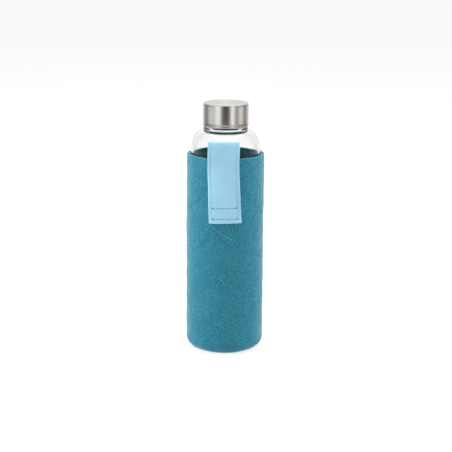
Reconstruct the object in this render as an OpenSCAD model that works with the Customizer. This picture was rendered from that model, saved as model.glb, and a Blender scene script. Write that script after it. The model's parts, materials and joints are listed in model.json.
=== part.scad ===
// Glass water bottle in a quilted felt sleeve, with a steel screw cap and a folded strap.
// +Z is up, the strap faces -Y, and the origin is the centre of the sleeve's underside.
// Angles around the bottle are measured from -Y, positive towards +X.

/* [Glass bottle] */
// Outer diameter of the glass body
glass_d = 64; // [62:0.5:64]
// Height of the glass bottle alone
glass_h = 223; // [221:0.5:225]
// Thickness of the glass wall
glass_wall = 1.8; // [1.5:0.1:2.2]
// Thickness of the glass floor at its edge
glass_floor = 3.2; // [2.5:0.1:4]
// Bore of the neck
neck_bore_d = 30; // [28:0.5:31]

/* [Cap] */
// Outer diameter of the steel cap
cap_d = 41.8; // [41.6:0.1:42.4]
// Height of the steel cap
cap_h = 22; // [21.5:0.1:22.5]
// Sheet thickness of the steel cap
steel_t = 0.5; // [0.4:0.05:0.6]
// Rise of the cap for one turn of its two-start thread
thread_lead = 8; // [7.6:0.1:8]

/* [Sleeve] */
// Outer diameter of the felt sleeve
sleeve_d = 71; // [71:0.1:72]
// Height of the felt sleeve
sleeve_h = 184; // [182:0.5:185]
// Outer radius of the sleeve's base corner
corner_r = 9.8; // [9:0.1:10.5]
// Free space between the felt and the glass
glass_gap = 0.3; // [0.3:0.05:0.5]

/* [Strap] */
// Width of the strap
strap_w = 29; // [26:0.5:32]
// Thickness of the strap, both plies together
strap_t = 1.2; // [1:0.1:1.2]
// Height of the strap's fold above the sleeve's rim
strap_rise = 16; // [14:0.5:17]
// Reach of the strap below the sleeve's rim
strap_drop = 58.6; // [56:0.2:62]
// Angle at which the strap is sewn on, from upright
strap_lean = 1.7; // [0:0.1:2]

/* [Stitching] */
// Diameter of the sewing thread
thread_d = 0.6; // [0.5:0.05:0.7]
// Height of one quilted diamond
diamond_h = 43.7; // [40:0.1:46]
// Diamonds around the sleeve
diamonds = 3; // [3:1:4]
// Stitches along one side of a diamond
side_stitches = 13; // [11:1:14]

/* [Hidden] */
$fn = 96;

felt_color = "#3f8d9d";
seam_color = "#6fb7c4";
strap_color = "#9dd0e6";

// Sleeve
sleeve_r = sleeve_d / 2;
felt_in_r = glass_d / 2 + glass_gap;
felt_t = sleeve_r - felt_in_r;
rim_round = 0.6;
base_r = sleeve_r - corner_r;
seam_gap = 0.1;
seam_bevel = 0.8;

// Glass
glass_r = glass_d / 2;
glass_z = felt_t + glass_gap;
mouth_z = glass_z + glass_h;
glass_corner = 7;
punt_h = 1.6;
punt_r = 22;
shoulder_z = 186;
shoulder_top_z = mouth_z - 20.9;
shoulder_flat_r = 20.5;
collar_r = 19.7;
bead_bulge = 0.75;
bead_h = 2.4;
neck_r = 17.3;
bore_r = neck_bore_d / 2;
lip_round = 0.8;
inner_r = glass_r - glass_wall;
neck_fillet = 1.6;
in_collar_r = 20.4;

// Cap
cap_r = cap_d / 2;
cap_top_z = mouth_z + 4;
cap_low_z = cap_top_z - cap_h;
cap_edge = 1.5;
hem_bulge = 0.3;
hem_half_w = 0.85;
hem_half_h = 1.5;
insert_r = cap_r - steel_t;
insert_bore_r = 18.6;
insert_low_z = cap_low_z + 0.8;
insert_plate = 1.6;
insert_top_z = cap_top_z - steel_t;
insert_roof_z = insert_top_z - insert_plate;
seal_gap = 0.15;
seal_low_z = mouth_z + 0.2;
seal_in_r = 13.9;
seal_out_r = 18.3;
retainer_r = 17.8;
retainer_h = 0.8;

// Thread: a ridge is widest at its root, and each part has two, half a turn apart
ridge_root = 1.7;
ridge_tip = 0.9;
ridge_bite = 0.4;
ridge_turns = 0.8;
outer_ridge_tip_r = 18.3;
inner_ridge_tip_r = 17.6;
outer_ridge_z = mouth_z - 14;
inner_ridge_z = outer_ridge_z - thread_lead / 4;

// Strap
strap_gap = 0.4;
ply_t = strap_t / 2;
strap_out_r = sleeve_r + strap_gap + ply_t;
strap_in_r = glass_r + 0.45 + ply_t;
strap_low_z = sleeve_h - strap_drop;
strap_bulge = 0.4;
fold_r = (strap_out_r + strap_bulge - strap_in_r) / 2;
fold_z = sleeve_h + strap_rise - fold_r - ply_t;
bulge_z = sleeve_h - 3;
strap_mid_z = 160;
strap_shift = -1.1;
edge_margin = 2.8;
edge_pitch = 3;
anchor_stitches = 8;
anchor_pitch = 2.9;
anchor_upper_z = strap_low_z + 13.9;
anchor_lower_z = strap_low_z + 4;

// Quilting
diamond_deg = 360 / diamonds;
quilt_slope = atan(diamond_h / (2 * PI * sleeve_r / diamonds));
side_deg = diamond_deg / 2;
stitch_deg = side_deg / side_stitches;
stitch_len = 2 * PI * sleeve_r * stitch_deg / 360 / cos(quilt_slope) - 1;
quilt_low_z = corner_r + 1;
quilt_top_z = sleeve_h - 2;
quilt_phase_z = 26.8;
quilt_turn = -2.5;
back_clear_deg = 6;
zigzag_half_w = 2.2;
zigzag_pitch = 2.5;

// Points of an ellipse arc from angle a0 to a1, in n steps.
function ellipse_arc(c, rx, ry, a0, a1, n) =
  [for (i = [0:n]) let (a = a0 + (a1 - a0) * i / n) c + [rx * cos(a), ry * sin(a)]];

function arc(c, r, a0, a1, n) = ellipse_arc(c, r, r, a0, a1, n);

// The strap's middle line as [radius, height]: up the outside, over the fold, down inside.
function strap_line() = concat(
  [[strap_out_r, strap_low_z]],
  [for (i = [0:8]) let (t = i / 8)
    [strap_out_r + strap_bulge * (1 - cos(180 * t)) / 2, bulge_z + (fold_z - bulge_z) * t]],
  [for (i = [1:12]) [strap_in_r + fold_r + fold_r * cos(15 * i), fold_z + fold_r * sin(15 * i)]],
  [[strap_in_r, strap_low_z]]
);

// Unit direction of a path at point i, from its neighbours.
function path_dir(p, i) =
  let (d = p[min(i + 1, len(p) - 1)] - p[max(i - 1, 0)]) d / norm(d);

// The path moved by d to the right of its direction.
function beside(p, d) =
  [for (i = [0:len(p) - 1]) let (u = path_dir(p, i)) p[i] + d * [u[1], -u[0]]];

function reversed(p) = [for (i = [len(p) - 1:-1:0]) p[i]];

// The strap's middle x at a height.
function strap_x(z) = strap_shift - tan(strap_lean) * (z - strap_mid_z);

// The outer leg's middle radius at a height.
function leg_r(z) = z < bulge_z ? strap_out_r
  : strap_out_r + strap_bulge * (1 - cos(180 * (z - bulge_z) / (fold_z - bulge_z))) / 2;

// Places its children at an angle around the bottle, r out from the axis and z up.
module around(angle, r, z) {
  rotate([0, 0, angle]) translate([0, -r, z]) children();
}

// A straight stitch along X, tilted up by slope.
module stitch(length, slope = 0, d = thread_d) {
  rotate([0, 90 - slope, 0]) cylinder(h = length, d = d, center = true, $fn = 16);
}

// One thread ridge: a four-sided section swept up a right-hand helix, tapering in at both ends.
module thread_ridge(root_r, tip_r, z0, start_deg) {
  steps = 20;
  bite = root_r < tip_r ? -ridge_bite : ridge_bite;
  function height(i) = min(1, 0.15 + min(i, steps - i) / 3);
  function ring(i) =
    let (a = start_deg + 360 * ridge_turns * i / steps,
         z = z0 + thread_lead * ridge_turns * i / steps,
         tip = root_r + (tip_r - root_r) * height(i))
    [for (q = [[root_r + bite, -ridge_root / 2], [tip, -ridge_tip / 2],
               [tip, ridge_tip / 2], [root_r + bite, ridge_root / 2]])
      [q[0] * cos(a), q[0] * sin(a), z + q[1]]];
  points = [for (i = [0:steps]) each ring(i)];
  sides = [for (i = [0:steps - 1], k = [0:3]) let (a = 4 * i + k, b = 4 * i + (k + 1) % 4)
    each [[a, b, b + 4], [a, b + 4, a + 4]]];
  ends = [[3, 2, 1, 0], [for (k = [0:3]) 4 * steps + k]];
  outward = root_r < tip_r;
  faces = concat(sides, ends);
  polyhedron(points, outward ? faces : [for (f = faces) reversed(f)]);
}

module glass_bottle() {
  a = glass_r - shoulder_flat_r;
  b = shoulder_top_z - shoulder_z;
  bead_z = shoulder_top_z + 0.25 + bead_h / 2;
  outside = concat(
    [for (i = [0:8]) [punt_r * i / 8, glass_z + punt_h * (1 - pow(i / 8, 2))]],
    arc([glass_r - glass_corner, glass_z + glass_corner], glass_corner, -90, 0, 8),
    ellipse_arc([shoulder_flat_r, shoulder_z], a, b, 0, 90, 20),
    ellipse_arc([collar_r, bead_z], bead_bulge, bead_h / 2, -90, 90, 8),
    [[neck_r, bead_z + bead_h / 2 + 1.1]],
    arc([neck_r - lip_round, mouth_z - lip_round], lip_round, 0, 90, 4)
  );
  in_corner = glass_corner - glass_wall;
  in_floor = glass_z + glass_floor;
  in_top_z = shoulder_top_z - 1.6;
  inside = concat(
    arc([bore_r + lip_round, mouth_z - lip_round], lip_round, 90, 180, 4),
    arc([bore_r + neck_fillet, in_top_z + neck_fillet], neck_fillet, 180, 270, 4),
    reversed(ellipse_arc([in_collar_r, shoulder_z - 0.5], inner_r - in_collar_r,
                         in_top_z - shoulder_z + 0.5, 0, 90, 20)),
    arc([inner_r - in_corner, in_floor + in_corner], in_corner, 0, -90, 8),
    [for (i = [8:-1:0]) [punt_r * i / 8, in_floor + punt_h * (1 - pow(i / 8, 2))]]
  );
  color("azure", 0.4) union() {
    rotate_extrude() polygon(concat(outside, inside));
    for (start = [0, 180])
      thread_ridge(neck_r, outer_ridge_tip_r, outer_ridge_z, start);
  }
}

// Drawn steel cup with a hem rolled around its lower edge.
module cap_shell() {
  hem = [cap_r + hem_bulge - hem_half_w, cap_low_z + hem_half_h];
  hem_deg = acos((cap_r - hem[0]) / hem_half_w);
  in_edge = cap_edge - steel_t;
  section = concat(
    [[0, cap_top_z]],
    arc([cap_r - cap_edge, cap_top_z - cap_edge], cap_edge, 90, 0, 6),
    ellipse_arc(hem, hem_half_w, hem_half_h, hem_deg, -260, 22),
    [[insert_r, hem[1] + hem_half_h + 0.1]],
    arc([insert_r - in_edge, insert_top_z - in_edge], in_edge, 0, 90, 4),
    [[0, insert_top_z]]
  );
  color("silver") rotate_extrude() polygon(section);
}

// Plastic liner pressed into the steel cup, with the female thread and the seal's retaining bead.
module cap_insert() {
  foot_r = cap_r + hem_bulge - 2 * hem_half_w - 0.15;
  step_z = cap_low_z + 2 * hem_half_h + 0.2;
  in_edge = cap_edge - steel_t;
  bead_z = seal_low_z - 0.15 - retainer_h / 2;
  section = concat(
    [[0, insert_top_z]],
    arc([insert_r - in_edge, insert_top_z - in_edge], in_edge, 90, 0, 4),
    [[insert_r, step_z], [foot_r, step_z], [foot_r, insert_low_z], [insert_bore_r, insert_low_z]],
    ellipse_arc([insert_bore_r, bead_z], insert_bore_r - retainer_r, retainer_h / 2, 270, 90, 6),
    [[insert_bore_r, insert_roof_z], [0, insert_roof_z]]
  );
  color("whitesmoke") union() {
    rotate_extrude() polygon(section);
    for (start = [0, 180])
      thread_ridge(insert_bore_r, inner_ridge_tip_r, inner_ridge_z, start);
  }
}

// Silicone ring between the liner's roof and the mouth, with a raised sealing bead on each face.
module cap_seal() {
  top_z = insert_roof_z - seal_gap;
  mid_r = (neck_r + bore_r) / 2;
  dip = 0.15;
  section = [
    [seal_in_r, seal_low_z + dip], [mid_r - 1, seal_low_z + dip], [mid_r, seal_low_z],
    [mid_r + 1, seal_low_z + dip], [seal_out_r, seal_low_z + dip],
    [seal_out_r, top_z - dip], [mid_r + 1, top_z - dip], [mid_r, top_z],
    [mid_r - 1, top_z - dip], [seal_in_r, top_z - dip]
  ];
  color("gainsboro") rotate_extrude() polygon(section);
}

// A leaning slab that trims the strap, and the felt behind it, to a width.
module strap_slab(width) {
  translate([strap_shift, -sleeve_r, strap_mid_z]) rotate([0, -strap_lean, 0])
    cube([width, sleeve_r, sleeve_h], center = true);
}

// Felt tube turned in at the base, thinner where the strap's inner leg lies in it.
module sleeve_wall() {
  bevel_deg = asin(seam_bevel / corner_r);
  section = concat(
    [[base_r, seam_bevel]],
    arc([base_r, corner_r], corner_r, bevel_deg - 90, 0, 10),
    arc([sleeve_r - rim_round, sleeve_h - rim_round], rim_round, 0, 90, 3),
    arc([felt_in_r + rim_round, sleeve_h - rim_round], rim_round, 90, 180, 3),
    arc([base_r, corner_r], corner_r - felt_t, 0, -90, 10)
  );
  color(felt_color) difference() {
    rotate_extrude() polygon(section);
    intersection() {
      translate([0, 0, strap_low_z - 1])
        cylinder(h = strap_drop + 2, r = strap_in_r + ply_t + 0.1);
      strap_slab(strap_w + 1);
    }
    translate([0, sleeve_r, corner_r]) rotate([0, 0, 45])
      translate([-0.5, -0.5, 0]) cube([1, 1, sleeve_h]);
  }
}

module sleeve_base() {
  disc_r = base_r - seam_gap;
  color(felt_color) rotate_extrude()
    polygon([[0, 0], [disc_r - seam_bevel, 0], [disc_r, seam_bevel], [disc_r, felt_t], [0, felt_t]]);
}

// Stitched lines of one lattice family. dir is 1 for lines that rise towards +X, -1 for falling.
// Rising lines have a stitch on each crossing, and falling lines have the gap between two there.
module quilt_thread(dir) {
  shift = dir > 0 ? 0 : 0.5;
  per_turn = 2 * diamonds * side_stitches;
  function under_anchor(a, z) = abs(a) < 22
    && min(abs(z - anchor_upper_z), abs(z - anchor_lower_z)) < 1.8;
  color(seam_color)
    for (i = [0:per_turn - 1], k = [-diamonds:ceil(sleeve_h / diamond_h) + diamonds]) {
      a = quilt_turn - 180 + (i + shift) * stitch_deg;
      z = quilt_phase_z + diamond_h * (k + dir * (a - quilt_turn) / diamond_deg);
      sewn = z > quilt_low_z && z < quilt_top_z && abs(a) < 180 - back_clear_deg;
      if (sewn && !under_anchor(a, z))
        around(a, sleeve_r, z) stitch(stitch_len, dir * quilt_slope);
    }
}

module quilt_thread_rising() { quilt_thread(1); }

module quilt_thread_falling() { quilt_thread(-1); }

// Zigzag that joins the panel's two edges at the back.
module back_seam_thread() {
  rows = floor((sleeve_h - corner_r - 4) / zigzag_pitch);
  slope = atan(zigzag_pitch / (2 * zigzag_half_w));
  leg = 2 * zigzag_half_w / cos(slope) - 1;
  color(seam_color)
    for (i = [0:rows - 1])
      around(180, sleeve_r, corner_r + 2 + zigzag_pitch * (i + 0.5))
        stitch(leg, i % 2 == 0 ? slope : -slope);
}

// Ring of thread in the groove between the base disc and the wall.
module base_seam_thread() {
  color(seam_color) rotate_extrude()
    translate([base_r - seam_gap / 2, seam_bevel]) circle(r = thread_d / 2 + 0.1, $fn = 24);
}

module strap_ply(d) {
  line = strap_line();
  intersection() {
    rotate_extrude(angle = 80, start = -130) polygon(concat(line, reversed(beside(line, d))));
    strap_slab(strap_w);
  }
}

module strap_face() { color(strap_color) strap_ply(ply_t); }

module strap_lining() { color("powderblue") strap_ply(-ply_t); }

// Stitches along one edge of the strap: up the outer leg, over the fold and down the inner leg.
module strap_edge_thread(side) {
  length = edge_pitch - 0.9;
  sink = 0.1;
  face_r = ply_t - sink;
  function edge_deg(r, z) = asin((strap_x(z) + side * (strap_w / 2 - edge_margin)) / r);
  function on_row(z) = min(abs(z - anchor_upper_z), abs(z - anchor_lower_z)) < 1.5;
  color(seam_color) {
    for (z = [strap_low_z + 2:edge_pitch:fold_z - 1]) {
      r = leg_r(z) + face_r;
      tilt = atan((leg_r(z + 1) - leg_r(z)) / 1);
      if (!on_row(z))
        around(edge_deg(r, z), r, z) rotate([tilt, 0, 0]) stitch(length, 90);
    }
    for (a = [30:60:150]) {
      r = strap_in_r + fold_r + (fold_r + face_r) * cos(a);
      z = fold_z + (fold_r + face_r) * sin(a);
      around(edge_deg(r, z), r, z) rotate([-a, 0, 0]) stitch(length, 90);
    }
    for (z = [strap_low_z + 2:edge_pitch:fold_z - 1]) {
      r = strap_in_r - ply_t + thread_d / 2 - 0.05;
      if (!on_row(z))
        around(edge_deg(r, z), r, z) stitch(length, 90);
    }
  }
}

module strap_edge_thread_left() { strap_edge_thread(-1); }

module strap_edge_thread_right() { strap_edge_thread(1); }

// A row of lockstitch through both strap legs and the felt: needle holes joined inside and out.
module anchor_row(z) {
  out_r = strap_out_r + ply_t + 0.05;
  in_r = strap_in_r - ply_t + thread_d / 2 + 0.1;
  step = anchor_pitch / strap_out_r * 180 / PI;
  middle = asin(strap_x(z) / strap_out_r);
  first = middle - anchor_stitches / 2 * step;
  color(seam_color) union() {
    for (i = [0:anchor_stitches])
      around(first + i * step, in_r, z) rotate([90, 0, 0])
        cylinder(h = out_r - in_r, d = thread_d - 0.1, $fn = 16);
    for (i = [0:anchor_stitches - 1], r = [out_r, in_r])
      around(first + (i + 0.5) * step, r, z)
        stitch(2 * r * sin(step / 2) - 0.3, 0, thread_d);
  }
}

module strap_anchor_thread_upper() { anchor_row(anchor_upper_z); }

module strap_anchor_thread_lower() { anchor_row(anchor_lower_z); }

glass_bottle();
cap_shell();
cap_insert();
cap_seal();
sleeve_wall();
sleeve_base();
quilt_thread_rising();
quilt_thread_falling();
back_seam_thread();
base_seam_thread();
strap_face();
strap_lining();
strap_edge_thread_left();
strap_edge_thread_right();
strap_anchor_thread_upper();
strap_anchor_thread_lower();
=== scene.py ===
"""Glass water bottle in a quilted felt sleeve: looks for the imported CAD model.

Shapes are worked out in millimetres and written as metres, in the CAD frame: +Z is up, the
strap faces -Y, and angles around the bottle run from -Y towards +X.
"""

import json
import math

import bpy
import numpy as np
from mathutils import Matrix, Vector


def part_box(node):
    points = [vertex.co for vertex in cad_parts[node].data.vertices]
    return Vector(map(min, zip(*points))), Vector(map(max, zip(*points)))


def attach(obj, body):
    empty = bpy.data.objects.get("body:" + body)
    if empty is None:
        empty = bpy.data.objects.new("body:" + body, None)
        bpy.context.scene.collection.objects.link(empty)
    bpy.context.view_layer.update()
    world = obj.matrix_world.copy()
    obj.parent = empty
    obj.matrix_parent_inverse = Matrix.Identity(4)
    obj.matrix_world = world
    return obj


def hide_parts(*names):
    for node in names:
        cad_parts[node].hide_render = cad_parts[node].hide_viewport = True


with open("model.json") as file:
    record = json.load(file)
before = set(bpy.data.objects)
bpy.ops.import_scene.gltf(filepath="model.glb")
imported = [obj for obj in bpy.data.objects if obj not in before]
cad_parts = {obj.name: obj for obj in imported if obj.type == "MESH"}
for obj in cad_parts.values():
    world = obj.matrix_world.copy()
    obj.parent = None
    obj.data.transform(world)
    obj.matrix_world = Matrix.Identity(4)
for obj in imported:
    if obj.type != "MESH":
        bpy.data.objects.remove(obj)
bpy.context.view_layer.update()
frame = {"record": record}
MM = 0.001


def cad_mm(node):
    """A CAD node's lowest and highest corner, in millimetres."""
    low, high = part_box(node)
    return np.array(low) / MM, np.array(high) / MM


# ---------------------------------------------------------------- driving sizes, mm
WALL_HIGH = cad_mm("sleeve_wall")[1]
SLEEVE_R, SLEEVE_H = WALL_HIGH[0], WALL_HIGH[2]
FELT_T = cad_mm("sleeve_base")[1][2]
CORNER_R = 9.8  # where the wall turns in at the base
BASE_R = SLEEVE_R - CORNER_R
FELT_IN_R = SLEEVE_R - FELT_T
GLASS_LOW, GLASS_HIGH = cad_mm("glass_bottle")
GLASS_R, GLASS_Z, MOUTH_Z = GLASS_HIGH[0], GLASS_LOW[2], GLASS_HIGH[2]
BORE_R = next(m for m in frame["record"]["mounts"] if m["name"] == "mouth")["dims"]["r_mm"]
LEAD = 8.0  # the cap's rise in one turn
CAP_LOW, CAP_HIGH = cad_mm("cap_shell")
HEM_FLARE = 0.3  # how far the CAD cap's hem stands out of its side
CAP_R, CAP_Z, CAP_TOP = CAP_HIGH[0] - HEM_FLARE, CAP_LOW[2], CAP_HIGH[2]
STRAP_LOW, STRAP_TOP = (corner[2] for corner in cad_mm("strap_face"))
STRAP_W = 29.0
STRAP_HALF_T = 0.6
STRAP_LEAN = math.radians(1.7)  # towards -X as it rises
STRAP_MID_Z, STRAP_SHIFT = 160.0, -1.1  # a height, and the strap's middle there
ANCHOR_Z = (STRAP_LOW + 13.9, STRAP_LOW + 4.0)  # upper and lower row
ANCHOR_STITCHES, ANCHOR_PITCH, ANCHOR_THREAD_R = 8, 2.9, 0.3
ANCHOR_HALF_W = ANCHOR_STITCHES / 2 * ANCHOR_PITCH
EDGE_STITCH_U, EDGE_PITCH, EDGE_THREAD_R = 11.7, 3.0, 0.2  # U is the place across the strap
DIAMONDS = 3  # around the sleeve
DIAMOND_H = 43.7
SIDE_STITCHES = 13  # along each side of a diamond
QUILT_PHASE, QUILT_TURN = 26.8, math.radians(-2.5)  # height and angle of one crossing
DIAMOND_W = 2 * math.pi * SLEEVE_R / DIAMONDS
QUILT_SLOPE = math.atan(DIAMOND_H / DIAMOND_W)
THREAD_R = 0.3
ZIGZAG_PITCH, ZIGZAG_HALF_W = 2.5, 2.2


# ---------------------------------------------------------------- mesh helpers
def arc(cx, cy, rx, ry, start, end, steps):
    """Points of an ellipse arc, in degrees, ends included."""
    a = np.radians(np.linspace(start, end, steps + 1))
    return np.column_stack([cx + rx * np.cos(a), cy + ry * np.sin(a)])


def densify(outline, step):
    """The outline with no gap longer than step."""
    out = [outline[0]]
    for p, q in zip(outline[:-1], outline[1:]):
        n = max(1, math.ceil(np.linalg.norm(q - p) / step))
        out += [p + (q - p) * k / n for k in range(1, n + 1)]
    return np.array(out)


def smooth(x, low, high):
    """0 below low, 1 above high, and a smooth step between."""
    t = np.clip((x - low) / (high - low), 0, 1)
    return t * t * (3 - 2 * t)


def bell(x, width):
    """1 at 0, falling away smoothly on both sides."""
    return np.exp(-(x / width) ** 2)


def signed_volume(verts, faces):
    """The volume inside closed faces, below 0 where they face inwards."""
    fan = np.array([(f[0], f[k], f[k + 1]) for f in faces for k in range(1, len(f) - 1)])
    a, b, c = verts[fan[:, 0]], verts[fan[:, 1]], verts[fan[:, 2]]
    return np.einsum("ij,ij->i", a, np.cross(b, c)).sum() / 6


def mesh_object(name, verts_mm, faces, uvs=None):
    """A smooth-shaded mesh object with outward normals. uvs has one pair for each vertex."""
    verts = np.asarray(verts_mm, float) * MM
    faces = [tuple(int(i) for i in f) for f in faces]
    if signed_volume(verts, faces) < 0:
        faces = [f[::-1] for f in faces]
    mesh = bpy.data.meshes.new(name)
    mesh.from_pydata(verts.tolist(), [], faces)
    mesh.polygons.foreach_set("use_smooth", [True] * len(faces))
    if uvs is not None:
        layer = mesh.uv_layers.new(name="UVMap")
        corner_vert = np.empty(len(mesh.loops), dtype=np.int64)
        mesh.loops.foreach_get("vertex_index", corner_vert)
        layer.data.foreach_set("uv", np.asarray(uvs, float)[corner_vert].ravel())
    mesh.update()
    obj = bpy.data.objects.new(name, mesh)
    bpy.context.scene.collection.objects.link(obj)
    return obj


def grid_faces(rows, cols, wrap_rows, wrap_cols, start=0):
    """Quads over a rows by cols grid of vertices, joined round where asked."""
    faces = []
    for i in range(rows if wrap_rows else rows - 1):
        for j in range(cols if wrap_cols else cols - 1):
            a, b = i * cols + j, i * cols + (j + 1) % cols
            c, d = ((i + 1) % rows) * cols + (j + 1) % cols, ((i + 1) % rows) * cols + j
            faces.append((start + a, start + b, start + c, start + d))
    return faces


def round_points(r, z, theta):
    """Points at radius r and height z, theta radians around from -Y towards +X."""
    r, z, theta = np.broadcast_arrays(r, z, theta)
    return np.stack([r * np.sin(theta), -r * np.cos(theta), z], axis=-1)


def lathe(name, outline, segments, move=None):
    """A turned piece. An outline that starts and ends on the axis gets poles, and any other is
    closed into a ring. move(theta, r, z) returns new r and z for detail that isn't round."""
    outline = np.asarray(outline, float)
    poles = outline[0][0] < 1e-6
    body = outline[1:-1] if poles else outline
    theta = np.linspace(0, 2 * math.pi, segments, endpoint=False)
    theta, r, z = np.broadcast_arrays(theta, body[:, :1], body[:, 1:])
    if move:
        r, z = move(theta, r, z)
    verts = round_points(r, z, theta).reshape(-1, 3)
    faces = grid_faces(len(body), segments, not poles, True)
    if poles:
        first, last = len(verts), len(verts) + 1
        verts = np.vstack([verts, [0, 0, outline[0][1]], [0, 0, outline[-1][1]]])
        top = first - segments
        for j in range(segments):
            k = (j + 1) % segments
            faces += [(first, k, j), (last, top + j, top + k)]
    return mesh_object(name, verts, faces)


def stitches(name, lines, radius, sides=8):
    """Rounded lengths of thread, one along each line of points. UV x runs along the thread."""
    lines = np.asarray(lines, float)
    count, rings, _ = lines.shape
    along = np.gradient(lines, axis=1)
    along /= np.linalg.norm(along, axis=2, keepdims=True)
    out = lines * [1, 1, 0] + [0, 0, 1e-9]
    out /= np.linalg.norm(out, axis=2, keepdims=True)
    side = np.cross(along, out)
    side /= np.linalg.norm(side, axis=2, keepdims=True)
    up = np.cross(side, along)
    t = np.linspace(-1, 1, rings)
    width = radius * np.sqrt(np.clip(1 - np.abs(t) ** 6, 0.02, 1))
    a = np.linspace(0, 2 * math.pi, sides, endpoint=False)
    ring = (side[:, :, None] * np.cos(a)[:, None] + up[:, :, None] * np.sin(a)[:, None])
    verts = lines[:, :, None] + ring * width[None, :, None, None]
    verts = verts.reshape(-1, 3)
    u = np.broadcast_to(np.linspace(0, 1, rings)[None, :, None], (count, rings, sides))
    v = np.broadcast_to((a / (2 * math.pi))[None, None, :], (count, rings, sides))
    uvs = np.stack([u.ravel(), v.ravel()], axis=1)
    faces = []
    for k in range(count):
        start = k * rings * sides
        faces += grid_faces(rings, sides, False, True, start)
        end = start + (rings - 1) * sides
        faces += [tuple(range(start + sides - 1, start - 1, -1)), tuple(range(end, end + sides))]
    return mesh_object(name, verts, faces, uvs)


def place(obj, body, material, slot, *nodes):
    """Gives a piece its material and its body, and hides the CAD nodes that it stands for."""
    obj.data.materials.append(material)
    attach(obj, body)
    if nodes:
        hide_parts(*nodes)
    return obj


# ---------------------------------------------------------------- shader helpers
def add_node(tree, kind, inputs=None, **settings):
    """A shader node, with a link or a constant on each input that is named."""
    node = tree.nodes.new("ShaderNode" + kind)
    for key, value in settings.items():
        setattr(node, key, value)
    for key, value in (inputs or {}).items():
        if isinstance(value, bpy.types.NodeSocket):
            tree.links.new(value, node.inputs[key])
        else:
            node.inputs[key].default_value = value
    return node


class Shader:
    """A node material around one Principled shader."""

    def __init__(self, name, **constants):
        self.material = bpy.data.materials.new(name)
        self.material.use_nodes = True
        self.nodes = self.material.node_tree.nodes
        self.links = self.material.node_tree.links
        self.bsdf = self.nodes["Principled BSDF"]
        for key, value in constants.items():
            self.bsdf.inputs[key.replace("_", " ")].default_value = value

    def add(self, kind, inputs=None, **settings):
        return add_node(self.material.node_tree, kind, inputs, **settings)

    def place_coords(self, scale=(1, 1, 1)):
        """Object coordinates, stretched."""
        coords = self.add("TexCoord").outputs["Object"]
        return self.add("Mapping", {"Vector": coords, "Scale": scale}).outputs["Vector"]

    def noise(self, coords, scale, detail=3.0, rough=0.55, distortion=0.0):
        """Noise with scale waves a metre."""
        return self.add("TexNoise", {"Vector": coords, "Scale": scale, "Detail": detail,
                                     "Roughness": rough, "Distortion": distortion}).outputs["Fac"]

    def ramp(self, fac, *stops):
        node = self.add("ValToRGB", {"Fac": fac})
        ramp = node.color_ramp
        while len(ramp.elements) < len(stops):
            ramp.elements.new(0.5)
        for element, (at, colour) in zip(ramp.elements, stops):
            element.position = at
            element.color = colour if len(colour) == 4 else (*colour, 1)
        return node.outputs["Color"]

    def mix(self, fac, a, b, blend="MIX"):
        node = self.add("Mix", data_type="RGBA", blend_type=blend)
        for socket, value in ((node.inputs["Factor"], fac), (node.inputs["A"], a),
                              (node.inputs["B"], b)):
            if isinstance(value, bpy.types.NodeSocket):
                self.links.new(value, socket)
            elif socket.type == "VALUE":
                socket.default_value = value
            else:
                socket.default_value = (*value, 1)
        return node.outputs["Result"]

    def maths(self, operation, a, b=0.0):
        return self.add("Math", {0: a, 1: b}, operation=operation).outputs[0]

    def colour(self, socket):
        self.links.new(socket, self.bsdf.inputs["Base Color"])

    def roughness(self, fac, low, high):
        self.links.new(self.add("MapRange", {"Value": fac, "To Min": low, "To Max": high})
                       .outputs["Result"], self.bsdf.inputs["Roughness"])

    def bump(self, height, distance, strength=1.0, under=None):
        inputs = {"Height": height, "Distance": distance, "Strength": strength}
        if under is not None:
            inputs["Normal"] = under
        normal = self.add("Bump", inputs).outputs["Normal"]
        self.links.new(normal, self.bsdf.inputs["Normal"])
        return normal


def grey(value):
    return (value, value, value)


# ---------------------------------------------------------------- materials
def felt_material(name, dark, mid, light):
    """Brushed felt: blotches where the nap lies differently, short fibres and a pale sheen."""
    s = Shader(name, Roughness=0.92, Sheen_Weight=0.6, Sheen_Roughness=0.36,
               Sheen_Tint=(0.77, 0.88, 0.87, 1), Specular_IOR_Level=0.12)
    coords = s.place_coords()
    blotch = s.noise(coords, 120, 3, 0.6, 0.3)
    patch = s.noise(coords, 430, 3, 0.62, 0.4)
    grain = s.noise(coords, 1050, 3, 0.65)
    fibre = s.noise(s.place_coords((1, 1, 0.5)), 3400, 2, 0.7, 1.4)
    nap = s.maths("ADD", s.maths("MULTIPLY", blotch, 0.14), s.maths("MULTIPLY", patch, 0.36))
    nap = s.maths("ADD", nap, s.maths("MULTIPLY", grain, 0.50))
    base = s.ramp(nap, (0.34, dark), (0.5, mid), (0.66, light))
    hue = s.noise(coords, 38, 2, 0.5)
    base = s.mix(s.maths("MULTIPLY", hue, 0.2), base, (0.032, 0.21, 0.235))
    fleck = s.ramp(fibre, (0.62, grey(0)), (0.78, grey(1)))
    s.colour(s.mix(s.maths("MULTIPLY", fleck, 0.28), base, light))
    under = s.bump(patch, 0.00045, 0.5)
    under = s.bump(grain, 0.00022, 0.7, under)
    s.bump(fibre, 0.00012, 0.9, under)
    return s.material


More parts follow.
